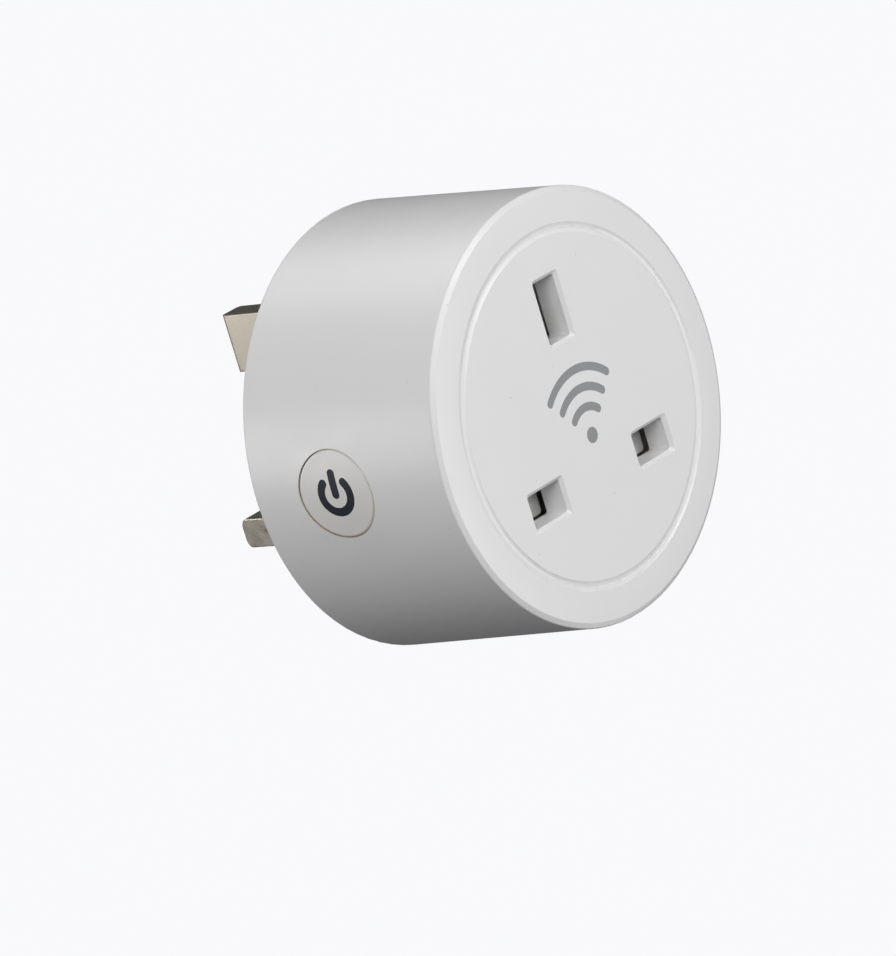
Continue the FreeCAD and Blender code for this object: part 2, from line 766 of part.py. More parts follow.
def tact_switch():
    """Push switch body with its square frame, open in the middle for the plunger."""
    size = (2 * TACT_HALF, 2 * TACT_HALF)
    body = plate_x(size, BUTTON_Y, BUTTON_Z, TACT_FRONT_X, BOARD_X)
    body = body.makeFillet(0.5, edges_along(body, "x"))
    well = rod_x(PLUNGER_RADIUS + PLUNGER_GAP, BUTTON_Y, BUTTON_Z, TACT_FRONT_X - 1, BOARD_X - TACT_FLOOR)
    return body.cut(well)


def tact_plunger():
    """Round plunger of the push switch."""
    plunger = rod_x(PLUNGER_RADIUS, BUTTON_Y, BUTTON_Z, PLUNGER_FRONT_X, BOARD_X - PLUNGER_END)
    rim = [e for e in plunger.Edges if e.BoundBox.XMax < PLUNGER_FRONT_X + 0.01]
    return plunger.makeFillet(0.2, rim)


def status_led():
    """Indicator lamp on the switch board."""
    base = plate_x(LED_BASE, BUTTON_Y, LED_Z, BOARD_X - LED_STEP, BOARD_X)
    lens = plate_x(LED_LENS, BUTTON_Y, LED_Z, BOARD_X - LED_TALL, BOARD_X - LED_STEP)
    lens = lens.makeFillet(0.15, edges_along(lens, "x"))
    return joined([base, lens])


def shutter():
    """Plate with two flaps behind the pole apertures, two arms, and a wedge that the earth pin lifts."""
    back = SHUTTER_FRONT + SHUTTER_THICK
    plate = [box(-BAR_HALF, BAR_HALF, SHUTTER_FRONT, back, BAR_BOTTOM, BAR_TOP)]
    for side in (-1, 1):
        x = side * PIN_X
        flap = box(x - LEG_HALF, x + LEG_HALF, SHUTTER_FRONT, back, PIN_Z - LEG_BELOW, BAR_TOP)
        low = [e for e in edges_along(flap, "y") if e.Vertexes[0].Z < PIN_Z]
        plate.append(flap.makeFillet(0.6, low))
        arm = sorted((side * ARM_INNER, side * ARM_OUTER))
        plate.append(box(arm[0], arm[1], SHUTTER_FRONT, back, BAR_TOP - 1, WEDGE_TOP))
    wedge = [(SHUTTER_FRONT, WEDGE_TIP), (SHUTTER_FRONT, WEDGE_TOP), (WEDGE_BACK, WEDGE_TOP)]
    wedge.append((WEDGE_BACK, WEDGE_HEEL))
    reach = ARM_INNER - 0.1
    plate.append(prism([Vector(-reach, y, z) for y, z in wedge], Vector(2 * reach, 0, 0)))
    plate.append(box(-ARM_INNER, ARM_INNER, SHUTTER_FRONT, back, WEDGE_TIP, WEDGE_TOP))
    half = SPRING_SEAT_HALF
    plate.append(box(-half, half, SPRING_Y - half, SPRING_Y + half, BAR_TOP - SPRING_SEAT_THICK, BAR_TOP))
    peg = Part.makeCylinder(SPRING_PEG[0], SPRING_PEG[1], Vector(0, SPRING_Y, BAR_TOP), Vector(0, 0, 1))
    return joined(plate + [peg])


def shutter_spring():
    """Coil spring that pushes the shutter down over the apertures."""
    height = SPRING_TOP - BAR_TOP - 2 * (SPRING_WIRE + SPRING_PLAY)
    helix = Part.makeHelix(height / SPRING_TURNS, height, SPRING_RADIUS)
    circle = Part.makeCircle(SPRING_WIRE, Vector(SPRING_RADIUS, 0, 0), Vector(0, 1, 0))
    coil = Part.Wire(helix).makePipeShell([Part.Wire(circle)], True, True)
    coil.translate(Vector(0, SPRING_Y, BAR_TOP + SPRING_WIRE + SPRING_PLAY))
    return coil


def contact_carrier():
    """Plate behind the shutter with a cell for each spring contact and the spring's stop."""
    plate = [rod(CARRIER_RADIUS, 0, 0, CARRIER_FRONT, CARRIER_BACK)]
    cells = [(PIN_X, PIN_Z, POLE_CELL), (-PIN_X, PIN_Z, POLE_CELL), (0, EARTH_Z, EARTH_CELL)]
    for x, z, size in cells:
        plate.append(bar(grown(size, CELL_WALL), 0.8, x, z, CARRIER_BACK - 0.5, CELL_BACK))
    stop_half, stop_tall = SPRING_STOP
    stop_top = SPRING_TOP + stop_tall
    plate.append(box(-stop_half, stop_half, SHUTTER_FRONT - 0.6, CARRIER_FRONT, SPRING_TOP, stop_top))
    rail_inner = BAR_HALF + RAIL_GAP
    for side in (-1, 1):
        rail = sorted((side * rail_inner, side * (rail_inner + RAIL_THICK)))
        plate.append(box(rail[0], rail[1], SHUTTER_FRONT, CARRIER_FRONT, RAIL_Z[0], RAIL_Z[1]))
    carrier = joined(plate)
    for x, z, size in cells:
        carrier = carrier.cut(bar(size, CELL_CORNER, x, z, CARRIER_BACK, CELL_BACK + 1))
    post_x, post_z = CARRIER_POST
    before = CARRIER_FRONT - 1
    for side in (-1, 1):
        mouth = bar(POLE_MOUTH, CELL_CORNER, side * PIN_X, PIN_Z, before, CARRIER_BACK + 1)
        carrier = carrier.cut(mouth)
        carrier = carrier.cut(rod(SMALL_CORE + SCREW_GAP, side * post_x, post_z, CARRIER_FRONT, CARRIER_BACK))
    half = WEDGE_SLOT_HALF
    carrier = carrier.cut(box(-half, half, before, WEDGE_BACK + WEDGE_GAP, stop_top, WEDGE_SLOT_TOP))
    spring_back = SPRING_Y + SPRING_SEAT_HALF + SPRING_GAP
    spring_slot = box(-stop_half, stop_half, CARRIER_FRONT, spring_back, SPRING_SLOT_FOOT, SPRING_TOP)
    carrier = carrier.cut(spring_slot)
    for x, z in screw_places():
        carrier = carrier.cut(rod(BOSS_RADIUS + 0.3, x, z, CARRIER_FRONT - 1, CARRIER_BACK + 1))
    return carrier


def pole_contact(side):
    """Sprung brass clip that grips a live or neutral pin, with a leg to the main board."""
    half = POLE_CONTACT_PATH
    path = [(y, PIN_Z + z) for y, z in half] + [(y, PIN_Z - z) for y, z in half[::-1]]
    end_y, end_z = half[-1]
    wide = POLE_CONTACT_WIDE
    x = side * PIN_X
    outline = strip_outline(path, STRIP)
    clip = prism([Vector(x - wide / 2, y, z) for y, z in outline], Vector(wide, 0, 0))
    leg_z = PIN_Z - CONTACT_LEG_DROP
    foot = [(end_y, PIN_Z - end_z), (end_y, leg_z), (LEAD_END, leg_z)]
    outline = strip_outline(foot, STRIP)
    leg_x = x - CONTACT_LEG_WIDE / 2
    leg = prism([Vector(leg_x, y, z) for y, z in outline], Vector(CONTACT_LEG_WIDE, 0, 0))
    return joined([clip, leg])


def earth_contact():
    """Sprung brass clip that grips the earth pin, with a tail to the plug's own earth pin."""
    half = EARTH_CONTACT_PATH
    path = list(half) + [(-x, y) for x, y in half[::-1]]
    tall = EARTH_CONTACT_TALL
    outline = strip_outline(path, STRIP)
    clip = prism([Vector(x, y, EARTH_Z - tall / 2) for x, y in outline], Vector(0, 0, tall))
    tail = block((TAIL[0], 2 * EARTH_TAIL_HALF), 0, EARTH_Z, half[-1][1], PIN_ROOT - PIN_HEAD)
    return joined([clip, tail])


def pair(place, half):
    """Two places side by side, the same distance to each side of a middle one."""
    x, z = place
    return [(x - half, z), (x + half, z)]


def lead_places():
    """Where component leads pass through the main board, as (x, z) pairs."""
    places = []
    for z in CAPACITOR_Z:
        places += pair((0, z), CAPACITOR_LEAD_X)
    places += pair(CHOKE, CHOKE_LEAD_X)
    places += pair(FILM_PLACE, FILM_LEAD_X)
    places += pair(VARISTOR, VARISTOR_LEAD_X)
    places.append(RESISTOR)
    x, z = TRANSFORMER
    reach_x, reach_z = TRANSFORMER_LEADS
    for level in (z - reach_z, z + reach_z):
        places += pair((x, level), reach_x)
    for level in RELAY_LEADS_Z:
        places += pair((COIL_X, level), RELAY_LEADS_X)
    places.append((COIL_X, (TERMINAL_Z[0] + TERMINAL_Z[1]) / 2))
    return places


def component_leads():
    """Tinned leads of the board's components."""
    return Part.makeCompound([rod(LEAD, x, z, PART_SEAT, LEAD_END) for x, z in lead_places()])


def main_board():
    """Round main board with notches for the casing's bosses and slots for contact tails."""
    board = rod(BOARD_RADIUS, 0, 0, BOARD_FRONT, BOARD_BACK)
    y0 = BOARD_FRONT - 1
    y1 = BOARD_BACK + 1
    cuts = [rod(LEAD + BOARD_HOLE_GAP, x, z, y0, y1) for x, z in lead_places()]
    cuts += [rod(BOSS_RADIUS + BOARD_CLEARANCE, x, z, y0, y1) for x, z in screw_places()]
    cuts += [rod(SMALL_CORE + BOARD_HOLE_GAP, x, z, y0, y1) for x, z in STANDOFFS]
    for side in (-1, 1):
        x = side * PIN_X
        cuts.append(block(grown(TAIL, TAIL_GAP), x, PIN_Z, y0, y1))
        leg = (CONTACT_LEG_WIDE, STRIP)
        cuts.append(block(grown(leg, TAIL_GAP), x, PIN_Z - CONTACT_LEG_DROP, y0, y1))
    earth_tail = (TAIL[0], 2 * EARTH_TAIL_HALF)
    cuts.append(block(grown(earth_tail, TAIL_GAP), 0, EARTH_Z, y0, y1))
    clear = FLANGE_RADIUS + BOARD_CLEARANCE
    flange_room = (BUTTON_Z - clear, BUTTON_Z + clear)
    cuts.append(box(-BOARD_RADIUS - 1, BUTTON_BACK_X + FLANGE_ROOM, y0, y1, flange_room[0], flange_room[1]))
    for cutter in cuts:
        board = board.cut(cutter)
    return board


def relay_base():
    """Floor of the relay, where its terminals come out."""
    return box(RELAY_X[0], RELAY_X[1], RELAY_FLOOR, PART_SEAT, RELAY_Z[0], RELAY_Z[1])


def relay_cover():
    """Dust cover of the relay, open towards the main board."""
    x0, x1 = RELAY_X
    z0, z1 = RELAY_Z
    wall = RELAY_WALL
    cover = box(x0, x1, RELAY_FRONT, RELAY_FLOOR, z0, z1)
    cover = cover.makeFillet(0.4, edges_along(cover, "y"))
    inside = box(x0 + wall, x1 - wall, RELAY_FRONT + wall, RELAY_FLOOR, z0 + wall, z1 - wall)
    return cover.cut(inside)


def relay_bobbin():
    """Spool that carries the relay's winding."""
    y0, y1 = SPOOL_Y
    flange = (SPOOL_FLANGE, SPOOL_FLANGE)
    spool = [rod(SPOOL_RADIUS, COIL_X, COIL_Z, y0, y1)]
    for y in (y0, y1 - SPOOL_FLANGE_THICK):
        spool.append(block(flange, COIL_X, COIL_Z, y, y + SPOOL_FLANGE_THICK))
    return joined(spool).cut(rod(SPOOL_BORE, COIL_X, COIL_Z, y0 - 1, y1 + 1))


def relay_coil():
    """Copper winding of the relay."""
    y0 = SPOOL_Y[0] + SPOOL_FLANGE_THICK
    y1 = SPOOL_Y[1] - SPOOL_FLANGE_THICK
    coil = rod(COIL_RADIUS, COIL_X, COIL_Z, y0, y1)
    return coil.cut(rod(SPOOL_RADIUS, COIL_X, COIL_Z, y0, y1))


def relay_core():
    """Iron core with a wider pole face."""
    stem = rod(CORE_RADIUS, COIL_X, COIL_Z, POLE_FACE_BACK, RELAY_FLOOR)
    return joined([stem, rod(POLE_FACE_RADIUS, COIL_X, COIL_Z, POLE_Y, POLE_FACE_BACK)])


def relay_yoke():
    """Iron frame that carries the flux from the core to the armature's hinge edge."""
    x0 = COIL_X - YOKE_WIDE / 2
    x1 = COIL_X + YOKE_WIDE / 2
    post_z = ARMATURE_PIVOT_Z - YOKE_THICK / 2
    post = box(x0, x1, POLE_Y, RELAY_FLOOR, post_z, post_z + YOKE_THICK)
    foot = box(x0, x1, RELAY_FLOOR - YOKE_THICK, RELAY_FLOOR, COIL_Z - YOKE_FOOT_DROP, post_z)
    return joined([post, foot]).cut(rod(CORE_RADIUS, COIL_X, COIL_Z, RELAY_FLOOR - 2, RELAY_FLOOR + 1))


def released(shape):
    """Armature parts as they stand with the relay off, swung away from the pole face."""
    shape.rotate(Vector(0, POLE_Y, ARMATURE_PIVOT_Z), Vector(1, 0, 0), -ARMATURE_ANGLE)
    return shape


def relay_armature():
    """Iron plate that the coil pulls in."""
    wide, thick = ARMATURE
    face = POLE_Y - ARMATURE_AIR
    top = ARMATURE_PIVOT_Z + YOKE_THICK / 2
    return released(box(COIL_X - wide / 2, COIL_X + wide / 2, face - thick, face, ARMATURE_FOOT, top))


def relay_moving_contact():
    """Leaf on the armature with a contact rivet at its free end."""
    wide, thick = LEAF
    face = POLE_Y - ARMATURE_AIR - ARMATURE[1]
    leaf = box(COIL_X - wide / 2, COIL_X + wide / 2, face - thick, face, CONTACT_FOOT, LEAF_TOP)
    rivet = rod(RIVET_RADIUS, COIL_X, CONTACT_Z, face, face + MOVING_RIVET)
    return released(joined([leaf, rivet]))


def relay_fixed_contact():
    """Bent terminal with the contact face that the moving rivet meets."""
    low, high = TERMINAL_Z
    half = TERMINAL_WIDE / 2
    rivet_y = POLE_Y - ARMATURE[1] + MOVING_RIVET
    shelf_y = rivet_y + FIXED_RIVET
    blade_y = shelf_y + TERMINAL_SHELF
    rivet = rod(RIVET_RADIUS, COIL_X, CONTACT_Z, rivet_y, shelf_y)
    shelf = box(COIL_X - half, COIL_X + half, shelf_y, blade_y, CONTACT_FOOT, high)
    blade = box(COIL_X - half, COIL_X + half, blade_y, RELAY_FLOOR, low, high)
    return joined([rivet, shelf, blade])


def smoothing_capacitor(z):
    """Can of an electrolytic capacitor with a rolled neck and a scored top."""
    can = rod(CAPACITOR_RADIUS, 0, z, CAPACITOR_FRONT, PART_SEAT)
    can = can.makeFillet(CAPACITOR_EDGE, rims_at(can, CAPACITOR_FRONT) + rims_at(can, PART_SEAT))
    ring, wire, neck_y = CAPACITOR_NECK
    can = can.cut(Part.makeTorus(ring, wire, Vector(0, neck_y, z), Vector(0, 1, 0)))
    long, deep, thin = SCORE
    for size in ((long, thin), (thin, long)):
        can = can.cut(block(size, 0, z, CAPACITOR_FRONT, CAPACITOR_FRONT + deep))
    return can


def transformer_core():
    """Ferrite frame of the supply's transformer."""
    wide, deep, tall = CORE_BLOCK
    x, z = TRANSFORMER
    front = CORE_BACK - deep
    inner = (front + CORE_LIMB, CORE_BACK - CORE_LIMB)
    frame = block((wide, tall), x, z, front, CORE_BACK)
    window = block((wide - 2 * CORE_LIMB, tall + 2), x, z, inner[0], inner[1])
    post = block((CORE_POST, CORE_POST), x, z, inner[0], inner[1])
    return joined([frame.cut(window), post])


def transformer_winding():
    """Taped winding round the middle post of the transformer."""
    wide, deep, tall = WINDING_BLOCK
    x, z = TRANSFORMER
    winding = bar((wide, tall), WINDING_ROUND, x, z, WINDING_FRONT, WINDING_FRONT + deep)
    return winding.cut(transformer_core())


def transformer_bobbin():
    """Moulded base of the transformer, between its core and the main board."""
    x, z = TRANSFORMER
    return block(TRANSFORMER_BASE, x, z, CORE_BACK, PART_SEAT)


def choke_core():
    """Ferrite drum of the filter choke."""
    x, z = CHOKE
    radius, thick = CHOKE_FLANGE
    upper = rod(radius, x, z, CHOKE_FRONT, CHOKE_FRONT + thick)
    lower = rod(radius, x, z, PART_SEAT - thick, PART_SEAT)
    post = rod(CHOKE_POST, x, z, CHOKE_FRONT + thick, PART_SEAT - thick)
    return joined([upper, lower, post])


def choke_winding():
    """Copper winding of the filter choke."""
    x, z = CHOKE
    thick = CHOKE_FLANGE[1]
    y0 = CHOKE_FRONT + thick
    y1 = PART_SEAT - thick
    return rod(CHOKE_COIL, x, z, y0, y1).cut(rod(CHOKE_POST, x, z, y0, y1))


def film_capacitor():
    """Box-shaped interference capacitor."""
    x, z = FILM_PLACE
    case = block(FILM_BOX, x, z, FILM_FRONT, PART_SEAT)
    return case.makeFillet(FILM_EDGE, case.Edges)


def varistor():
    """Coated surge-protection disc, standing on edge."""
    x, z = VARISTOR
    start = Vector(x, VARISTOR_Y, z - VARISTOR_THICK / 2)
    disc = Part.makeCylinder(VARISTOR_RADIUS, VARISTOR_THICK, start, Vector(0, 0, 1))
    rims = [e for e in disc.Edges if len(e.Vertexes) == 1]
    disc = disc.makeFillet(VARISTOR_EDGE, rims)
    foot = block(VARISTOR_FOOT, x, z, VARISTOR_Y + VARISTOR_FOOT_RISE, PART_SEAT)
    return joined([disc, foot])


def fusible_resistor():
    """Upright resistor in the mains input that opens if the supply fails."""
    x, z = RESISTOR
    body = rod(RESISTOR_RADIUS, x, z, RESISTOR_FRONT, PART_SEAT)
    return body.makeFillet(RESISTOR_EDGE, rims_at(body, RESISTOR_FRONT) + rims_at(body, PART_SEAT))


def chip(size, place):
    """Flat package on the main board."""
    wide, tall, high = size
    x, z = place
    body = block((wide, high), x, z, BOARD_FRONT - tall, BOARD_FRONT)
    return body.makeChamfer(CHIP_EDGE, edges_along(body, "y"))


def wifi_board():
    """Upright radio board, edge-mounted on the main board."""
    return box(RADIO_X[0], RADIO_X[1], RADIO_FRONT, BOARD_FRONT, RADIO_Z[0], RADIO_Z[1])


def wifi_shield():
    """Pressed screening can of the radio."""
    wide, deep, tall = SHIELD
    face = RADIO_Z[0]
    x0 = SHIELD_X - wide / 2
    can = box(x0, x0 + wide, SHIELD_FRONT, SHIELD_FRONT + deep, face - tall, face)
    return can.makeFillet(SHIELD_EDGE, edges_along(can, "z"))


def wifi_antenna():
    """Meandered antenna strip at the free end of the radio board."""
    y0, y1 = ANTENNA_Y
    z1 = RADIO_Z[0]
    z0 = z1 - ANTENNA_THICK
    runs = []
    for i in range(ANTENNA_RUNS):
        x = ANTENNA_START + ANTENNA_STEP * i
        runs.append(box(x, x + ANTENNA_TRACK, y0, y1, z0, z1))
        y = y0 if i % 2 else y1 - ANTENNA_TRACK
        if i < ANTENNA_RUNS - 1:
            runs.append(box(x, x + ANTENNA_STEP + ANTENNA_TRACK, y, y + ANTENNA_TRACK, z0, z1))
    return joined(runs)


def build():
    """All sub-parts, by name."""
    sign = front_sign()
    symbol = symbol_prism()
    button = button_body()
    inlay = power_symbol(button, symbol)
    parts = {
        "outer_shell": outer_shell(),
        "socket_plate": socket_plate(sign),
        "front_sign": sign,
        "rear_cover": rear_cover(),
        "cover_screws": cover_screws(),
        "earth_pin": earth_pin(),
        "power_button": button.cut(inlay),
        "power_symbol": inlay,
        "switch_board": switch_board(),
        "tact_switch_body": tact_switch(),
        "tact_plunger": tact_plunger(),
        "status_led": status_led(),
        "shutter": shutter(),
        "shutter_spring": shutter_spring(),
        "contact_carrier": contact_carrier(),
        "carrier_screws": carrier_screws(),
        "earth_contact": earth_contact(),
        "main_board": main_board(),
        "board_screws": board_screws(),
        "component_leads": component_leads(),
        "relay_base": relay_base(),
        "relay_cover": relay_cover(),
        "relay_bobbin": relay_bobbin(),
        "relay_coil": relay_coil(),
        "relay_core": relay_core(),
        "relay_yoke": relay_yoke(),
        "relay_armature": relay_armature(),
        "relay_moving_contact": relay_moving_contact(),
        "relay_fixed_contact": relay_fixed_contact(),
        "upper_capacitor": smoothing_capacitor(CAPACITOR_Z[0]),
        "lower_capacitor": smoothing_capacitor(CAPACITOR_Z[1]),
        "transformer_core": transformer_core(),
        "transformer_winding": transformer_winding(),
        "transformer_bobbin": transformer_bobbin(),
        "choke_core": choke_core(),
        "choke_winding": choke_winding(),
        "film_capacitor": film_capacitor(),
        "varistor": varistor(),
        "fusible_resistor": fusible_resistor(),
        "bridge_rectifier": chip(RECTIFIER, RECTIFIER_PLACE),
        "supply_chip": chip(SUPPLY_CHIP, SUPPLY_CHIP_PLACE),
        "wifi_board": wifi_board(),
        "wifi_shield": wifi_shield(),
        "wifi_antenna": wifi_antenna(),
    }
    for name, side in (("live", 1), ("neutral", -1)):
        parts[name + "_pin"] = pole_pin(side)
        parts[name + "_pin_sleeve"] = pole_sleeve(side)
        parts[name + "_contact"] = pole_contact(side)
    return parts


os.makedirs("parts", exist_ok=True)
for node, shape in build().items():
    shape.exportStep("parts/" + node + ".step")
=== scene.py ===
import json
import math

import bmesh
import bpy
from mathutils import Matrix, Vector


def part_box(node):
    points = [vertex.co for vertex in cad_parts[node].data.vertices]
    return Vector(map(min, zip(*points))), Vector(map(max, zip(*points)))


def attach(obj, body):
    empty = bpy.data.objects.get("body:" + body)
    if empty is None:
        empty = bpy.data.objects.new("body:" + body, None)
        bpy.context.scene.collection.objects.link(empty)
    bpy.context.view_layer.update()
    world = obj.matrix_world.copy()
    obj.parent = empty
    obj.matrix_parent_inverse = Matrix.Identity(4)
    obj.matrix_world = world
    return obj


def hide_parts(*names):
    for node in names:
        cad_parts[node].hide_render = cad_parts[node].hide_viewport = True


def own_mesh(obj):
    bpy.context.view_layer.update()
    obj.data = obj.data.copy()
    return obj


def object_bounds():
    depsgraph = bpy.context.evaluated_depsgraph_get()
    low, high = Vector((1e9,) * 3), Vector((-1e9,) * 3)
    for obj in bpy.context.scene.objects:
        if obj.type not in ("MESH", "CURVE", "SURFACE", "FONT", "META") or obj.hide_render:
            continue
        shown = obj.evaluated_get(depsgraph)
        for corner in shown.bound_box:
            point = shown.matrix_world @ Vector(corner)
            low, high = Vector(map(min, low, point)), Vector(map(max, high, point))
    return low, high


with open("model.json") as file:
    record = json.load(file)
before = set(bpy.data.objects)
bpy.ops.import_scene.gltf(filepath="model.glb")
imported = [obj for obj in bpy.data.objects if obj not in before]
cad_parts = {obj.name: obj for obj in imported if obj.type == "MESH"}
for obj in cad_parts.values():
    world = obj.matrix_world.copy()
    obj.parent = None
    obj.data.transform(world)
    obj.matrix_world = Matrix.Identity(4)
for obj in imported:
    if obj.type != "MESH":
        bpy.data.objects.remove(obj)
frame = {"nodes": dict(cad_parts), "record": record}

MM = 0.001
CAD_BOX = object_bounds()
NODES = frame["nodes"]
for plain in list(bpy.data.materials):
    bpy.data.materials.remove(plain)

# ---------------------------------------------------------------- view

# The camera looks at the casing's left side and front face from a little above, and is rolled.
CAMERA_AZIMUTH = math.radians(-46.8)
CAMERA_ELEVATION = math.radians(13.62)
CAMERA_ROLL = math.radians(-16.75)
CAMERA_DISTANCE = 0.9
CAMERA_OFFSET = (17.06 * MM, 9.09 * MM)
CAMERA_LENS = 266.9
SENSOR_WIDTH = 36.0
CLIP_NEAR = 0.01
CLIP_FAR = 20.0


def set_camera():
    """Camera at the photograph's viewing angle, aimed beside the middle of the front face."""
    a, e, r = CAMERA_AZIMUTH, CAMERA_ELEVATION, CAMERA_ROLL
    back = Vector((math.sin(a) * math.cos(e), -math.cos(a) * math.cos(e), math.sin(e)))
    level = Vector((0, 0, 1)).cross(back).normalized()
    upright = back.cross(level)
    right = math.cos(r) * level + math.sin(r) * upright
    up = math.cos(r) * upright - math.sin(r) * level
    front = Vector((0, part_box("outer_shell")[0].y, 0))
    aim = front - CAMERA_OFFSET[0] * right - CAMERA_OFFSET[1] * up
    camera = bpy.data.objects.new("camera", bpy.data.cameras.new("camera"))
    camera.data.lens = CAMERA_LENS
    camera.data.sensor_width = SENSOR_WIDTH
    camera.data.clip_start = CLIP_NEAR
    camera.data.clip_end = CLIP_FAR
    turn = Matrix((right, up, back)).transposed().to_4x4()
    camera.matrix_world = Matrix.Translation(aim + CAMERA_DISTANCE * back) @ turn
    bpy.context.scene.collection.objects.link(camera)
    bpy.context.scene.camera = camera


# ---------------------------------------------------------------- stage and light

PALE = (0.947, 0.947, 0.962, 1.0)

# name, azimuth from the front towards the left, elevation, power
LIGHTS = (
    ("under", -60, -50, 0.25),
    ("front_low", -28, -20, 0.63),
    ("front_high", -20, 30, 1.07),
    ("left_front_high", 20, 30, 0.68),
    ("left_high", 60, 30, 1.02),
    ("back_left", 140, 5, 1.0),
    ("back_top", 180, 55, 0.30),
    ("back_right", 210, 55, 0.26),
)
LIGHT_CENTRE = (0, -16 * MM, 0)
LIGHT_DISTANCE = 0.55
LIGHT_SIZE = (0.20, 0.22)
AMBIENT = 0.08
FLOOR_DROP = 0.5 * MM
FLOOR_HALF = 6.0


def link(obj):
    """Adds an object to the scene and returns it."""
    bpy.context.scene.collection.objects.link(obj)
    return obj


def set_world():
    """Pale backdrop for the camera, with a dim even light for everything else."""
    world = bpy.data.worlds.new("studio")
    world.use_nodes = True
    bpy.context.scene.world = world
    tree = world.node_tree
    tree.nodes.clear()
    seen = tree.nodes.new("ShaderNodeBackground")
    seen.inputs["Color"].default_value = PALE
    dim = tree.nodes.new("ShaderNodeBackground")
    dim.inputs["Color"].default_value = (1.0, 1.0, 1.0, 1.0)
    dim.inputs["Strength"].default_value = AMBIENT
    path = tree.nodes.new("ShaderNodeLightPath")
    mix = tree.nodes.new("ShaderNodeMixShader")
    out = tree.nodes.new("ShaderNodeOutputWorld")
    tree.links.new(path.outputs["Is Camera Ray"], mix.inputs[0])
    tree.links.new(dim.outputs[0], mix.inputs[1])
    tree.links.new(seen.outputs[0], mix.inputs[2])
    tree.links.new(mix.outputs[0], out.inputs["Surface"])


def set_floor():
    """Plain pale floor under the casing, as bright as the backdrop."""
    low = CAD_BOX[0][2] - FLOOR_DROP
    half = FLOOR_HALF
    mesh = bpy.data.meshes.new("floor")
    corners = [(-half, -half, low), (half, -half, low), (half, half, low), (-half, half, low)]
    mesh.from_pydata(corners, [], [(0, 1, 2, 3)])
    floor = link(bpy.data.objects.new("floor", mesh))
    material = bpy.data.materials.new("floor_pale")
    material.use_nodes = True
    tree = material.node_tree
    tree.nodes.clear()
    glow = tree.nodes.new("ShaderNodeEmission")
    glow.inputs["Color"].default_value = PALE
    out = tree.nodes.new("ShaderNodeOutputMaterial")
    tree.links.new(glow.outputs[0], out.inputs["Surface"])
    mesh.materials.append(material)
    floor.visible_diffuse = False
    floor.visible_glossy = False
    floor.visible_transmission = False
    floor.visible_shadow = False


def set_lights():
    """Soft boxes round the casing. None of them is seen by the camera."""
    centre = Vector(LIGHT_CENTRE)
    for name, azimuth, elevation, power in LIGHTS:
        a, e = math.radians(azimuth), math.radians(elevation)
        way = Vector((-math.sin(a) * math.cos(e), -math.cos(a) * math.cos(e), math.sin(e)))
        lamp = bpy.data.lights.new(name, "AREA")
        lamp.shape = "RECTANGLE"
        lamp.size, lamp.size_y = LIGHT_SIZE
        lamp.energy = power
        box = link(bpy.data.objects.new(name, lamp))
        box.location = centre + LIGHT_DISTANCE * way
        box.rotation_euler = way.to_track_quat("Z", "Y").to_euler()
        box.visible_camera = False
    bpy.context.scene.view_settings.view_transform = "Standard"


set_camera()
set_world()
set_floor()
set_lights()

# ---------------------------------------------------------------- material tools


def plug(tree, socket, value):
    """Sets a node's input to a plain value, or joins it to another node's output."""
    if isinstance(value, bpy.types.NodeSocket):
        tree.links.new(value, socket)
    else:
        socket.default_value = value


def add(tree, kind, **values):
    """New node with some of its inputs filled in. An underscore in a name stands for a space."""
    node = tree.nodes.new(kind)
    for name, value in values.items():
        plug(tree, node.inputs[name.replace("_", " ")], value)
    return node


def new_material(name, ior=1.46, metallic=0.0):
    """Node material with its shader and object coordinates, which are the frame's own, in metres."""
    material = bpy.data.materials.new(name)
    material.use_nodes = True
    tree = material.node_tree
    shader = next(node for node in tree.nodes if node.type == "BSDF_PRINCIPLED")
    shader.inputs["IOR"].default_value = ior
    shader.inputs["Metallic"].default_value = metallic
    coords = tree.nodes.new("ShaderNodeTexCoord").outputs["Object"]
    return material, tree, shader, coords


def noise(tree, coords, size, detail=2.0):
    """Soft random pattern with features about size millimetres across."""
    node = add(tree, "ShaderNodeTexNoise", Vector=coords, Scale=1 / (size * MM), Detail=detail)
    return node.outputs["Fac"]


def drawn(tree, coords, axis, factor):
    """Coordinates that draw a pattern out along one axis, given as 0, 1 or 2."""
    scale = [1.0, 1.0, 1.0]
    scale[axis] = 1 / factor
    return add(tree, "ShaderNodeMapping", Vector=coords, Scale=scale).outputs["Vector"]


def spread(tree, value, low, high, start=0.3, end=0.7):
    """Maps a value from one range to another and holds it at the ends."""
    ends = {"From_Min": start, "From_Max": end, "To_Min": low, "To_Max": high}
    node = add(tree, "ShaderNodeMapRange", Value=value, **ends)
    return node.outputs["Result"]


def calc(tree, operation, first, second):
    """Result of one step of arithmetic."""
    node = tree.nodes.new("ShaderNodeMath")
    node.operation = operation
    plug(tree, node.inputs[0], first)
    plug(tree, node.inputs[1], second)
    return node.outputs[0]


def mixed(tree, mask, first, second):
    """The first colour where the mask is 0, the second where it is 1."""
    node = tree.nodes.new("ShaderNodeMix")
    node.data_type = "RGBA"
    sockets = {socket.identifier: socket for socket in node.inputs}
    plug(tree, sockets["Factor_Float"], mask)
    plug(tree, sockets["A_Color"], first)
    plug(tree, sockets["B_Color"], second)
    return next(socket for socket in node.outputs if socket.identifier == "Result_Color")


def opaque(colour, shade=1.0):
    """Colour times a shade, with its alpha."""
    return [c * shade for c in colour[:3]] + [1.0]


def tinted(tree, value, colour, shade):
    """Colour that varies between a darker shade of itself and itself."""
    return mixed(tree, spread(tree, value, 0.0, 1.0), opaque(colour, shade), opaque(colour))


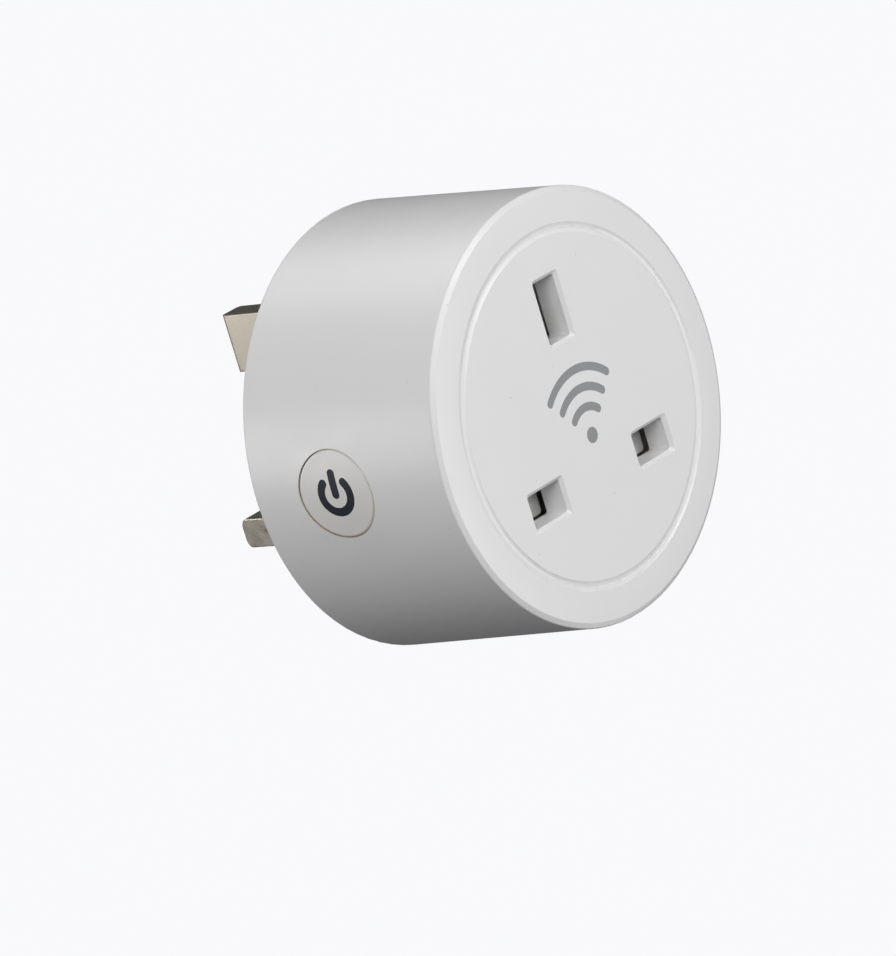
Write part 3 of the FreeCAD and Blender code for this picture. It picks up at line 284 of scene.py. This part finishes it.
def level(tree, coords, axis):
    """Distance along one axis of the frame, in metres."""
    return add(tree, "ShaderNodeSeparateXYZ", Vector=coords).outputs[axis]


def from_axis(tree, coords, centre, keep):
    """Distance from a line through centre. keep is 0 along the line and 1 across it."""
    moved = tree.nodes.new("ShaderNodeVectorMath")
    moved.operation = "SUBTRACT"
    plug(tree, moved.inputs[0], coords)
    plug(tree, moved.inputs[1], centre)
    flat = tree.nodes.new("ShaderNodeVectorMath")
    flat.operation = "MULTIPLY"
    plug(tree, flat.inputs[0], moved.outputs["Vector"])
    plug(tree, flat.inputs[1], keep)
    length = tree.nodes.new("ShaderNodeVectorMath")
    length.operation = "LENGTH"
    plug(tree, length.inputs[0], flat.outputs["Vector"])
    return length.outputs["Value"]


def below(tree, value, edge, soft):
    """Mask that is 1 under an edge and 0 above it."""
    return spread(tree, value, 1.0, 0.0, edge - soft, edge + soft)


def above(tree, value, edge, soft):
    """Mask that is 1 over an edge and 0 under it."""
    return spread(tree, value, 0.0, 1.0, edge - soft, edge + soft)


def specks(tree, coords, spacing, size, share):
    """Mask of scattered dots: spacing and size in millimetres, share of the cells that hold one."""
    cells = add(tree, "ShaderNodeTexVoronoi", Vector=coords, Scale=1 / (spacing * MM))
    near = spread(tree, cells.outputs["Distance"], 1.0, 0.0, 0.25 * size / spacing, 0.5 * size / spacing)
    draw = add(tree, "ShaderNodeSeparateColor", Color=cells.outputs["Color"]).outputs["Red"]
    return calc(tree, "MULTIPLY", near, calc(tree, "LESS_THAN", draw, share))


def relief(tree, shader, height, depth, strength=0.35):
    """Bump on a surface, depth millimetres from its lowest to its highest point."""
    node = add(tree, "ShaderNodeBump", Height=height, Distance=depth * MM, Strength=strength)
    plug(tree, shader.inputs["Normal"], node.outputs["Normal"])


def moulded(name, colour, rough, grain=0.11, depth=0.012, shade=0.985, ior=1.46):
    """Moulded plastic: fine grain from the mould, faint clouds in its colour, slightly uneven gloss."""
    material, tree, shader, coords = new_material(name, ior)
    clouds = noise(tree, coords, size=16.0, detail=3.0)
    plug(tree, shader.inputs["Base Color"], tinted(tree, clouds, colour, shade))
    gloss = spread(tree, noise(tree, coords, size=2.5), 0.93 * rough, 1.07 * rough)
    plug(tree, shader.inputs["Roughness"], gloss)
    relief(tree, shader, noise(tree, coords, size=grain), depth)
    return material


def wrought(name, colour, rough, axis, line=0.05, depth=0.004, shade=0.88, stretch=30.0):
    """Drawn, rolled or brushed metal with fine lines along one axis and patches of dull film."""
    material, tree, shader, coords = new_material(name, metallic=1.0)
    lines = noise(tree, drawn(tree, coords, axis, stretch), size=line, detail=3.0)
    film = noise(tree, coords, size=1.6, detail=4.0)
    plug(tree, shader.inputs["Base Color"], tinted(tree, film, colour, shade))
    dull = spread(tree, film, rough * 1.25, rough * 0.9)
    gloss = calc(tree, "ADD", dull, spread(tree, lines, 0.0, 0.05))
    plug(tree, shader.inputs["Roughness"], gloss)
    relief(tree, shader, lines, depth, strength=0.5)
    return material


def tinge(material, mask_maker, colour):
    """Lays a second colour over a material where mask_maker, given the tree and coordinates, says so."""
    tree = material.node_tree
    shader = next(node for node in tree.nodes if node.type == "BSDF_PRINCIPLED")
    coords = next(node for node in tree.nodes if node.type == "TEX_COORD").outputs["Object"]
    base = shader.inputs["Base Color"].links[0].from_socket
    plug(tree, shader.inputs["Base Color"], mixed(tree, mask_maker(tree, coords), base, opaque(colour)))
    return material


# ---------------------------------------------------------------- materials

CASING_WHITE = (0.80, 0.80, 0.80)
BUTTON_WHITE = (0.78, 0.77, 0.75)
# Painted gap shade: a warm tan that stands in for the shade and the light scattered through the plastic in
# the narrow gap round the button.
GAP_SHADE_TONE = (0.60, 0.49, 0.37)
DUST = (0.50, 0.48, 0.45)
DUST_STRENGTH = 0.5
PIN_NICKEL = (0.41, 0.375, 0.32)
PIT_BROWN = (0.14, 0.12, 0.10)
PIT_STRENGTH = 0.6
STAIN_BROWN = (0.25, 0.17, 0.10)
ROOT_BROWN = (0.20, 0.13, 0.08)
WIRE_COPPER = (0.62, 0.27, 0.11)
SLEEVE_NAVY = (0.03, 0.035, 0.06)
STRIPE_GREY = (0.62, 0.64, 0.66)
CAN_ALUMINIUM = (0.72, 0.72, 0.73)
TAPE_YELLOW = (0.80, 0.58, 0.09)

# What from_axis keeps of a distance: all but the part along X, or all of it.
ACROSS_X = (0.0, 1.0, 1.0)
EVERY_WAY = (1.0, 1.0, 1.0)

# Edges of the masks. The hole wall with the painted gap shade lies just outside the button, left of
# HOLE_SIDE_X.
HOLE_SIDE_X = -20 * MM
HOLE_SHADE_REACH = 0.11 * MM
BUTTON_SHADE_REACH = 0.03 * MM
STAIN_OFFSET_X = 1.0 * MM
STAIN_OFFSET_Z = 3.2 * MM
STAIN_Y = 14.4 * MM
STAIN_RADIUS = 0.25 * MM
ROOT_FILM_END = 0.5 * MM
STRIPE_SHARE = 0.35
CAN_SHOWING = 0.12 * MM
BAND_HALF = 0.42 * MM

button_low, button_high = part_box("power_button")
BUTTON_CENTRE = (button_low + button_high) / 2
BUTTON_FLANGE_STEP = 0.99 * MM
BUTTON_RADIUS = (button_high.z - button_low.z) / 2 - BUTTON_FLANGE_STEP


def casing_white():
    """Satin white plastic with a speck or two of dust, and a painted warm shade on the wall of the
    button's hole.
    """
    material = moulded("casing_white", CASING_WHITE, rough=0.32)

    def dusty(tree, coords):
        dots = specks(tree, coords, spacing=3.2, size=0.3, share=0.4)
        return calc(tree, "MULTIPLY", dots, DUST_STRENGTH)

    # Painted shade: the warm gap tone on the hole wall just outside the button.
    def hole_wall_shade(tree, coords):
        away = from_axis(tree, coords, BUTTON_CENTRE, ACROSS_X)
        left = below(tree, level(tree, coords, 0), HOLE_SIDE_X, 1 * MM)
        near = below(tree, away, BUTTON_RADIUS + HOLE_SHADE_REACH, 0.01 * MM)
        return calc(tree, "MULTIPLY", near, left)

    tinge(material, dusty, DUST)
    # Lays the painted gap shade on the hole wall.
    return tinge(material, hole_wall_shade, GAP_SHADE_TONE)


def button_white():
    """Satin white plastic, a touch warmer, with a painted warm shade down its side where it meets the
    casing.
    """
    material = moulded("button_white", BUTTON_WHITE, rough=0.30)

    # Painted shade: the warm gap tone on the button's side, next to the casing.
    def side(tree, coords):
        away = from_axis(tree, coords, BUTTON_CENTRE, ACROSS_X)
        return above(tree, away, BUTTON_RADIUS - BUTTON_SHADE_REACH, 0.02 * MM)

    return tinge(material, side, GAP_SHADE_TONE)


def pin_metal():
    """Nickel plate brushed along the pin, pitted on the earth pin, with a brown film at the root."""
    material = wrought("pin_metal", PIN_NICKEL, rough=0.28, axis=1, line=0.1, depth=0.0004, shade=0.96)
    pin_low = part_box("neutral_pin")[0]
    stain_place = (pin_low.x + STAIN_OFFSET_X, STAIN_Y, pin_low.z + STAIN_OFFSET_Z)

    def pits(tree, coords):
        upper = above(tree, level(tree, coords, 2), 0.0, 1 * MM)
        dots = specks(tree, coords, spacing=0.5, size=0.17, share=0.3)
        return calc(tree, "MULTIPLY", calc(tree, "MULTIPLY", dots, PIT_STRENGTH), upper)

    def root_film(tree, coords):
        near = below(tree, level(tree, coords, 1), ROOT_FILM_END, 1.6 * MM)
        patchy = spread(tree, noise(tree, coords, size=0.9, detail=4.0), 0.1, 1.0)
        return calc(tree, "MULTIPLY", near, patchy)

    def stain(tree, coords):
        away = from_axis(tree, coords, stain_place, EVERY_WAY)
        return below(tree, away, STAIN_RADIUS, 0.2 * MM)

    tinge(material, pits, PIT_BROWN)
    tinge(material, stain, STAIN_BROWN)
    return tinge(material, root_film, ROOT_BROWN)


def solder_mask(name, colour, pitch):
    """Glossy lacquer over a board, with copper tracks that stand up under it."""
    material, tree, shader, coords = new_material(name, ior=1.5)
    distances = []
    for feature in ("F1", "F2"):
        cells = add(tree, "ShaderNodeTexVoronoi", Vector=coords, Scale=1 / (pitch * MM))
        cells.feature = feature
        cells.distance = "CHEBYCHEV"
        distances.append(cells.outputs["Distance"])
    gap = calc(tree, "SUBTRACT", distances[1], distances[0])
    tracks = below(tree, gap, 0.16, 0.02)
    lacquer = tinted(tree, noise(tree, coords, size=3.0, detail=3.0), colour, 0.85)
    lifted = [min(1.0, 1.7 * c + 0.01) for c in colour]
    plug(tree, shader.inputs["Base Color"], mixed(tree, tracks, lacquer, opaque(lifted)))
    plug(tree, shader.inputs["Roughness"], spread(tree, noise(tree, coords, size=0.8), 0.18, 0.28))
    relief(tree, shader, tracks, depth=0.035, strength=0.8)
    return material


def copper_wire():
    """Enamelled copper wire, wound in turns across Y."""
    material, tree, shader, coords = new_material("copper_wire", metallic=1.0)
    turns = add(tree, "ShaderNodeTexWave", Vector=coords, Scale=1 / (0.9 * MM), Distortion=0.3)
    turns.bands_direction = "Y"
    enamel = noise(tree, coords, size=0.7, detail=3.0)
    plug(tree, shader.inputs["Base Color"], tinted(tree, enamel, WIRE_COPPER, 0.75))
    plug(tree, shader.inputs["Roughness"], spread(tree, enamel, 0.22, 0.34))
    relief(tree, shader, turns.outputs["Fac"], depth=0.05, strength=0.8)
    return material


def capacitor_sleeve():
    """Dark shrunk sleeve with a pale stripe down one side, and the bare can at its top."""
    material, tree, shader, coords = new_material("capacitor_sleeve", ior=1.5)
    low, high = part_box("upper_capacitor")
    radius = (high.x - low.x) / 2
    sleeve = tinted(tree, noise(tree, coords, size=1.2, detail=3.0), SLEEVE_NAVY, 0.8)
    stripe = below(tree, level(tree, coords, 0), low.x + STRIPE_SHARE * radius, 0.02 * MM)
    striped = mixed(tree, stripe, sleeve, opaque(STRIPE_GREY))
    bare = below(tree, level(tree, coords, 1), low.y + CAN_SHOWING, 0.02 * MM)
    plug(tree, shader.inputs["Base Color"], mixed(tree, bare, striped, opaque(CAN_ALUMINIUM)))
    plug(tree, shader.inputs["Metallic"], bare)
    plug(tree, shader.inputs["Roughness"], spread(tree, noise(tree, coords, size=0.8), 0.26, 0.38))
    relief(tree, shader, noise(tree, coords, size=0.5), depth=0.01)
    return material


def resistor_body():
    """Ceramic coating with coloured bands round it."""
    material = moulded("resistor_body", (0.25, 0.33, 0.30), rough=0.42, grain=0.25, depth=0.02, shade=0.9)
    low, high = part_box("fusible_resistor")
    # share of the body's length at the middle of each band, and its colour
    bands = (
        (0.20, (0.45, 0.20, 0.02)),
        (0.38, (0.01, 0.01, 0.01)),
        (0.56, (0.30, 0.02, 0.01)),
        (0.80, (0.55, 0.38, 0.10)),
    )

    def band_at(share):
        middle = low.y + share * (high.y - low.y)

        def band(tree, coords):
            away = calc(tree, "ABSOLUTE", calc(tree, "SUBTRACT", level(tree, coords, 1), middle), 0.0)
            return below(tree, away, BAND_HALF, 0.04 * MM)

        return band

    for share, colour in bands:
        tinge(material, band_at(share), colour)
    return material


def tape_yellow():
    """Polyester tape wound round, with faint edges where its turns overlap."""
    material, tree, shader, coords = new_material("tape_yellow", ior=1.55)
    turns = add(tree, "ShaderNodeTexWave", Vector=coords, Scale=1 / (4.2 * MM), Distortion=0.6)
    turns.bands_direction = "Y"
    turns.wave_profile = "SAW"
    stain = noise(tree, coords, size=1.8, detail=3.0)
    plug(tree, shader.inputs["Base Color"], tinted(tree, stain, TAPE_YELLOW, 0.88))
    plug(tree, shader.inputs["Roughness"], spread(tree, noise(tree, coords, size=1.0), 0.16, 0.26))
    relief(tree, shader, turns.outputs["Fac"], depth=0.03, strength=0.6)
    return material


def cast(name, colour, rough, grain, depth, metallic):
    """Sintered, cast or plated lump with a coarse grain and a slight mottle."""
    material, tree, shader, coords = new_material(name, metallic=metallic)
    mottle = noise(tree, coords, size=0.6, detail=4.0)
    plug(tree, shader.inputs["Base Color"], tinted(tree, mottle, colour, 0.75))
    gloss = noise(tree, coords, size=0.9)
    plug(tree, shader.inputs["Roughness"], spread(tree, gloss, 0.85 * rough, 1.15 * rough))
    relief(tree, shader, noise(tree, coords, size=grain, detail=4.0), depth, strength=0.6)
    return material


MATERIAL_LIST = (
    casing_white(),
    button_white(),
    moulded("symbol_navy", (0.018, 0.024, 0.037), rough=0.48, grain=0.09, depth=0.006, shade=0.8, ior=1.3),
    moulded("sign_grey", (0.29, 0.30, 0.31), rough=0.36, grain=0.09, depth=0.008, shade=0.93),
    pin_metal(),
    moulded("sleeve_black", (0.02, 0.02, 0.022), rough=0.42, grain=0.09, depth=0.012, shade=0.8),
    moulded("carrier_brown", (0.36, 0.32, 0.27), rough=0.45, grain=0.13, depth=0.015, shade=0.93),
    moulded("shutter_grey", (0.78, 0.78, 0.77), rough=0.38, grain=0.1, depth=0.012, shade=0.96),
    wrought("contact_brass", (0.72, 0.52, 0.24), rough=0.24, axis=2, shade=0.78),
    wrought("spring_steel", (0.55, 0.55, 0.56), rough=0.22, axis=0, line=0.03, stretch=12.0),
    cast("screw_zinc", (0.62, 0.62, 0.64), rough=0.30, grain=0.12, depth=0.006, metallic=1.0),
    cast("tin", (0.74, 0.74, 0.76), rough=0.28, grain=0.2, depth=0.008, metallic=1.0),
    solder_mask("board_green", (0.02, 0.15, 0.06), pitch=3.4),
    solder_mask("board_black", (0.012, 0.016, 0.03), pitch=1.8),
    moulded("switch_black", (0.03, 0.03, 0.03), rough=0.40, grain=0.09, depth=0.012, shade=0.8),
    moulded("led_lens", (0.75, 0.80, 0.85), rough=0.12, grain=0.4, depth=0.004, shade=0.93, ior=1.54),
    moulded("relay_blue", (0.02, 0.10, 0.35), rough=0.22, grain=0.5, depth=0.006, shade=0.88, ior=1.5),
    moulded("relay_base_black", (0.03, 0.03, 0.03), rough=0.45, grain=0.12, depth=0.014, shade=0.8),
    moulded("bobbin_white", (0.70, 0.69, 0.64), rough=0.38, grain=0.12, depth=0.012, shade=0.94),
    copper_wire(),
    cast("soft_iron", (0.42, 0.42, 0.43), rough=0.36, grain=0.1, depth=0.006, metallic=1.0),
    capacitor_sleeve(),
    cast("ferrite", (0.05, 0.05, 0.055), rough=0.55, grain=0.16, depth=0.02, metallic=0.0),
    tape_yellow(),
    moulded("film_box", (0.75, 0.52, 0.07), rough=0.28, grain=0.3, depth=0.008, shade=0.92, ior=1.5),
    moulded("varistor_blue", (0.03, 0.13, 0.42), rough=0.24, grain=0.9, depth=0.05, shade=0.85, ior=1.5),
    resistor_body(),
    moulded("chip_black", (0.025, 0.025, 0.027), rough=0.50, grain=0.08, depth=0.012, shade=0.8),
    wrought("shield_steel", (0.66, 0.66, 0.67), rough=0.26, axis=0),
    wrought("antenna_gold", (0.80, 0.60, 0.26), rough=0.24, axis=0, shade=0.85),
)
MATERIALS = {material.name: material for material in MATERIAL_LIST}

for part in frame["record"]["subparts"]:
    mesh = NODES[part["node"]].data
    mesh.materials.clear()
    mesh.materials.append(MATERIALS[part["material_slot"]])

# ---------------------------------------------------------------- windings, spring and solder

WIRE_PITCH = 0.28 * MM
TURN_POINTS = 6
LATHE_STEPS = 48
SOLDER_STEPS = 16
SOLDER_FOOT = 0.75 * MM
SOLDER_TALL = 0.5 * MM
SOLDER_POINTS = 6
SOLDER_CURVE = 2.2
SOLDER_FILM = 0.01 * MM
BOBBIN_BORE = 2.2 * MM
CHOKE_BORE = 1.6 * MM
SPRING_WIRE = 0.2 * MM
SPRING_TURNS = 6
SPRING_STEPS = 32
SPRING_SIDES = 10
WELD_REACH = 0.001 * MM


def turned(mesh, profile, x, z, steps):
    """Adds a ring to a mesh: a closed outline of (radius, y) pairs turned round a line along Y."""
    rings = []
    for radius, y in profile:
        angles = [math.tau * i / steps for i in range(steps)]
        ring = [mesh.verts.new((x + radius * math.cos(a), y, z + radius * math.sin(a))) for a in angles]
        rings.append(ring)
    for i, ring in enumerate(rings):
        after = rings[(i + 1) % len(rings)]
        for k in range(steps):
            m = (k + 1) % steps
            mesh.faces.new((ring[k], ring[m], after[m], after[k])).smooth = True


def finished(mesh, name, slot, body, *replaced):
    """Object made from a mesh, with its material, body and the nodes that it stands for."""
    bmesh.ops.recalc_face_normals(mesh, faces=mesh.faces)
    data = bpy.data.meshes.new(name)
    mesh.to_mesh(data)
    mesh.free()
    data.materials.append(MATERIALS[slot])
    piece = link(bpy.data.objects.new(name, data))
    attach(piece, body)
    if replaced:
        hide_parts(*replaced)
    return piece


def winding(name, node, bore):
    """Winding whose outside shows each turn of its wire, in place of a plain CAD winding."""
    low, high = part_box(node)
    x = (low.x + high.x) / 2
    z = (low.z + high.z) / 2
    turns = round((high.y - low.y) / WIRE_PITCH)
    wire = (high.y - low.y) / turns / 2
    radius = (high.x - low.x) / 2 - wire
    profile = [(bore, high.y), (bore, low.y)]
    for turn in range(turns):
        middle = low.y + (2 * turn + 1) * wire
        for i in range(TURN_POINTS):
            a = math.pi * (i + 0.5) / TURN_POINTS
            profile.append((radius + wire * math.sin(a), middle - wire * math.cos(a)))
    mesh = bmesh.new()
    turned(mesh, profile, x, z, LATHE_STEPS)
    finished(mesh, name, "copper_wire", "casing", node)


def spring_height(turn, low, high):
    """Height of the middle of the spring's wire after some turns. The first and last turn lie closed."""
    closed = 2 * SPRING_WIRE
    if turn < 1:
        return low + turn * closed
    if turn > SPRING_TURNS - 1:
        return high - (SPRING_TURNS - turn) * closed
    share = (turn - 1) / (SPRING_TURNS - 2)
    return low + closed + (high - low - 2 * closed) * share


def spring_coils():
    """Shutter spring with closed ends, built at one length. Nothing here shortens it as the shutter lifts.
    """
    low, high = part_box("shutter_spring")
    x = (low.x + high.x) / 2
    y = (low.y + high.y) / 2
    radius = (high.x - low.x) / 2 - SPRING_WIRE
    mesh = bmesh.new()
    rings = []
    for i in range(SPRING_TURNS * SPRING_STEPS + 1):
        turn = i / SPRING_STEPS
        height = spring_height(turn, low.z + SPRING_WIRE, high.z - SPRING_WIRE)
        a = math.tau * turn
        ring = []
        for k in range(SPRING_SIDES):
            b = math.tau * k / SPRING_SIDES
            reach = radius + SPRING_WIRE * math.cos(b)
            across = (x + reach * math.cos(a), y + reach * math.sin(a))
            ring.append(mesh.verts.new((*across, height + SPRING_WIRE * math.sin(b))))
        rings.append(ring)
    for ring, after in zip(rings, rings[1:]):
        for k in range(SPRING_SIDES):
            m = (k + 1) % SPRING_SIDES
            mesh.faces.new((ring[k], ring[m], after[m], after[k])).smooth = True
    mesh.faces.new(rings[0])
    mesh.faces.new(rings[-1])
    piece = finished(mesh, "spring_coils", "spring_steel", "casing", "shutter_spring")
    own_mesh(piece)


def lead_centres():
    """Middle and radius of each component lead, as (x, z, radius)."""
    mesh = bmesh.new()
    mesh.from_mesh(NODES["component_leads"].data)
    bmesh.ops.remove_doubles(mesh, verts=mesh.verts, dist=WELD_REACH)
    left = set(mesh.verts)
    centres = []
    while left:
        island = [left.pop()]
        for vert in island:
            for edge in vert.link_edges:
                other = edge.other_vert(vert)
                if other in left:
                    left.remove(other)
                    island.append(other)
        xs = [v.co.x for v in island]
        zs = [v.co.z for v in island]
        centres.append(((min(xs) + max(xs)) / 2, (min(zs) + max(zs)) / 2, (max(xs) - min(xs)) / 2))
    mesh.free()
    return sorted(centres)


def solder_joints():
    """Fillets of solder between the main board's back and each component lead."""
    centres = lead_centres()
    radius = centres[0][2]
    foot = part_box("main_board")[1].y
    mesh = bmesh.new()
    profile = [(radius, foot)]
    for i in range(SOLDER_POINTS + 1):
        share = i / SOLDER_POINTS
        reach = (SOLDER_FOOT - radius) * (1 - share) ** SOLDER_CURVE
        profile.append((radius + SOLDER_FILM + reach, foot + SOLDER_TALL * share))
    profile.append((radius, foot + SOLDER_TALL))
    for x, z, _ in centres:
        turned(mesh, profile, x, z, SOLDER_STEPS)
    finished(mesh, "solder_joints", "tin", "casing")


winding("relay_turns", "relay_coil", BOBBIN_BORE)
winding("choke_turns", "choke_winding", CHOKE_BORE)
spring_coils()
solder_joints()
